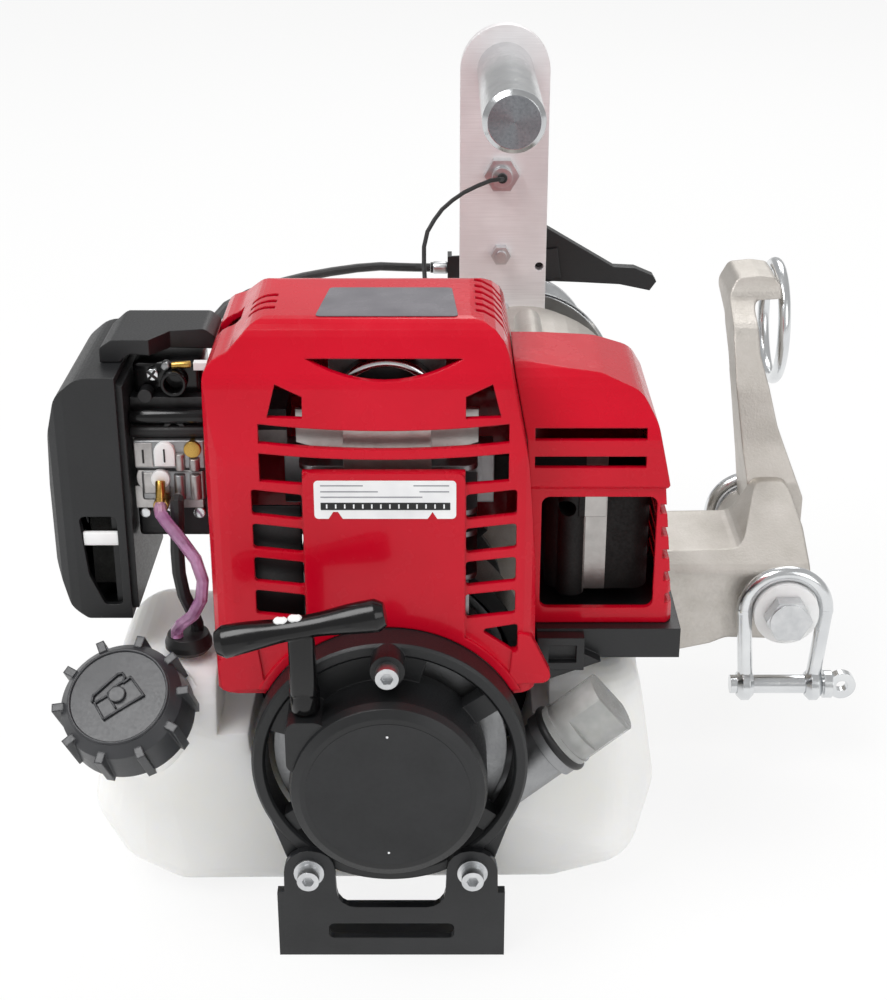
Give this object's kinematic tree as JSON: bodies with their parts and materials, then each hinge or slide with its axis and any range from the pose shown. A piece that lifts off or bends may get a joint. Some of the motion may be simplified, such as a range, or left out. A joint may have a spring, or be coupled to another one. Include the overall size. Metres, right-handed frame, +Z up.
{
  "type": "capstan winch",
  "caption": "Portable capstan winch: a small engine drives a rope drum through a cast gearbox with anchor shackles, a rope guide ring and a carrying handle.",
  "frame": {"origin": "middle of the foot bracket's underside, below the crankshaft", "axes": "+Z up, +Y from the starter towards the rope drum along the crankshaft, +X to the anchor side"},
  "size_m": [0.3181, 0.3597, 0.2965],
  "materials": {
    "red_plastic": "glossy moulded",
    "black_plastic": "satin moulded",
    "black_metal": "black powder coat",
    "cast_aluminium": "bead-blasted casting",
    "zinc_steel": "zinc plated",
    "polished_steel": "polished",
    "muffler_steel": "bare sheet",
    "brushed_plate": "brushed",
    "black_rubber": "matt rubber",
    "white_nylon": "machined nylon",
    "tank_plastic": "blow-moulded, translucent",
    "smoke_plastic": "smoked translucent",
    "purple_hose": "clear tinted tube",
    "rope": "braided nylon",
    "foam": "open foam"
  },
  "bodies": {
    "frame": {"foot_bracket": "black_metal", "foot_bolts": "zinc_steel", "recoil_cover": "black_plastic", "starter_rope": "rope", "boss_bolt": "zinc_steel", "crankcase": "cast_aluminium", "cylinder": "cast_aluminium", "timing_cover": "black_metal", "spark_plug": "zinc_steel", "plug_boot": "black_rubber", "fan_housing": "black_metal", "shroud": "red_plastic", "muffler_cover": "red_plastic", "muffler": "muffler_steel", "muffler_guard": "black_plastic", "air_cleaner_case": "black_plastic", "air_cleaner_cover": "black_plastic", "air_filter": "foam", "choke_guard": "black_plastic", "carburettor": "cast_aluminium", "fuel_hose": "purple_hose", "return_hose": "black_rubber", "tank_grommet": "black_rubber", "cable_tie": "white_nylon", "fuel_tank": "tank_plastic", "oil_neck": "cast_aluminium", "housing_front": "cast_aluminium", "housing_rear": "cast_aluminium", "housing_screws": "zinc_steel", "gear_bearings": "polished_steel", "anchor_bolt": "zinc_steel", "nylon_thimbles": "white_nylon", "guide_ring": "polished_steel", "handle_plate": "brushed_plate", "handle_bar": "brushed_plate", "plate_bolts": "zinc_steel", "stop_switch": "zinc_steel", "stop_wire": "black_rubber", "throttle_bracket": "black_metal", "throttle_cable": "black_rubber"},
    "starter_grip": {"starter_grip": "black_plastic"},
    "recoil_reel": {"recoil_reel": "black_plastic"},
    "crank": {"crankshaft": "zinc_steel", "flywheel": "cast_aluminium", "clutch_shoes": "zinc_steel"},
    "clutch_drum": {"clutch_drum": "zinc_steel"},
    "first_gear": {"first_gear": "zinc_steel"},
    "second_gear": {"second_gear": "zinc_steel"},
    "drum": {"output_gear": "zinc_steel", "capstan_drum": "polished_steel", "drum_nut": "zinc_steel"},
    "throttle_lever": {"throttle_lever": "black_plastic"},
    "stop_button": {"stop_button": "red_plastic"},
    "choke_lever": {"choke_lever": "black_plastic"},
    "fuel_cap": {"fuel_cap": "black_plastic"},
    "oil_cap": {"oil_cap": "smoke_plastic"},
    "front_shackle": {"front_shackle": "zinc_steel"},
    "front_pin": {"front_shackle_pin": "zinc_steel"},
    "rear_shackle": {"rear_shackle": "zinc_steel"},
    "rear_pin": {"rear_shackle_pin": "zinc_steel"}
  },
  "joints": [
    {"name": "drum_spin", "type": "hinge", "parent": "frame", "child": "drum", "pos_m": [0.056, 0.285, 0.125], "axis": [0, 1, 0], "continuous": true},
    {"name": "second_gear_spin", "type": "hinge", "parent": "frame", "child": "second_gear", "pos_m": [0.05174, 0.16, 0.07568], "axis": [0, 1, 0], "continuous": true},
    {"name": "first_gear_spin", "type": "hinge", "parent": "frame", "child": "first_gear", "pos_m": [0.018, 0.14, 0.04882], "axis": [0, 1, 0], "continuous": true},
    {"name": "clutch_drum_spin", "type": "hinge", "parent": "frame", "child": "clutch_drum", "pos_m": [0, 0.1, 0.08], "axis": [0, 1, 0], "continuous": true},
    {"name": "crank_spin", "type": "hinge", "parent": "frame", "child": "crank", "pos_m": [0, 0.03, 0.08], "axis": [0, 1, 0], "continuous": true},
    {"name": "starter_pull", "type": "slide", "parent": "frame", "child": "starter_grip", "axis": [0, 0, 1], "range_m": [0, 0.6], "stiffness_N_per_m": 8, "deforming": ["starter_rope"]},
    {"name": "reel_turn", "type": "hinge", "parent": "frame", "child": "recoil_reel", "pos_m": [0, -0.019, 0.08], "axis": [0, 1, 0], "range_deg": [0, 1240]},
    {"name": "throttle_squeeze", "type": "hinge", "parent": "frame", "child": "throttle_lever", "pos_m": [0.0684, 0.2565, 0.187], "axis": [0, -1, 0], "range_deg": [0, 35], "stiffness_Nm_per_rad": 0.15, "springref_deg": -11.46},
    {"name": "stop_push", "type": "slide", "parent": "frame", "child": "stop_button", "axis": [0, -1, 0], "range_m": [0, 0.003], "stiffness_N_per_m": 800, "springref_m": -0.002},
    {"name": "choke_turn", "type": "hinge", "parent": "frame", "child": "choke_lever", "pos_m": [-0.084, 0.0725, 0.19], "axis": [0, 1, 0], "range_deg": [0, 30]},
    {"name": "fuel_cap_turn", "type": "hinge", "parent": "frame", "child": "fuel_cap", "pos_m": [-0.0955, -0.005, 0.1053], "axis": [-0.1253, -0.5736, 0.8095], "range_deg": [0, 450]},
    {"name": "oil_cap_turn", "type": "hinge", "parent": "frame", "child": "oil_cap", "pos_m": [0.038, 0.014, 0.056], "axis": [0.766, 0, 0.6428], "range_deg": [0, 720]},
    {"name": "front_shackle_swing", "type": "hinge", "parent": "frame", "child": "front_shackle", "pos_m": [0.1637, 0.1195, 0.074], "axis": [0, 1, 0], "range_deg": [-70, 70]},
    {"name": "front_pin_slide", "type": "slide", "parent": "front_shackle", "child": "front_pin", "axis": [1, 0, 0], "range_m": [0, 0.045]},
    {"name": "rear_shackle_swing", "type": "hinge", "parent": "frame", "child": "rear_shackle", "pos_m": [0.1637, 0.2205, 0.074], "axis": [0, -1, 0], "range_deg": [-70, 70]},
    {"name": "rear_pin_slide", "type": "slide", "parent": "rear_shackle", "child": "rear_pin", "axis": [-1, 0, 0], "range_m": [0, 0.045]}
  ],
  "couplings": [
    {"joint": "second_gear_spin", "follows": "drum_spin", "ratio": -4.5},
    {"joint": "first_gear_spin", "follows": "drum_spin", "ratio": 21.375},
    {"joint": "clutch_drum_spin", "follows": "drum_spin", "ratio": -106.88},
    {"joint": "reel_turn", "follows": "starter_pull", "rad_per_m": 35.714}
  ]
}
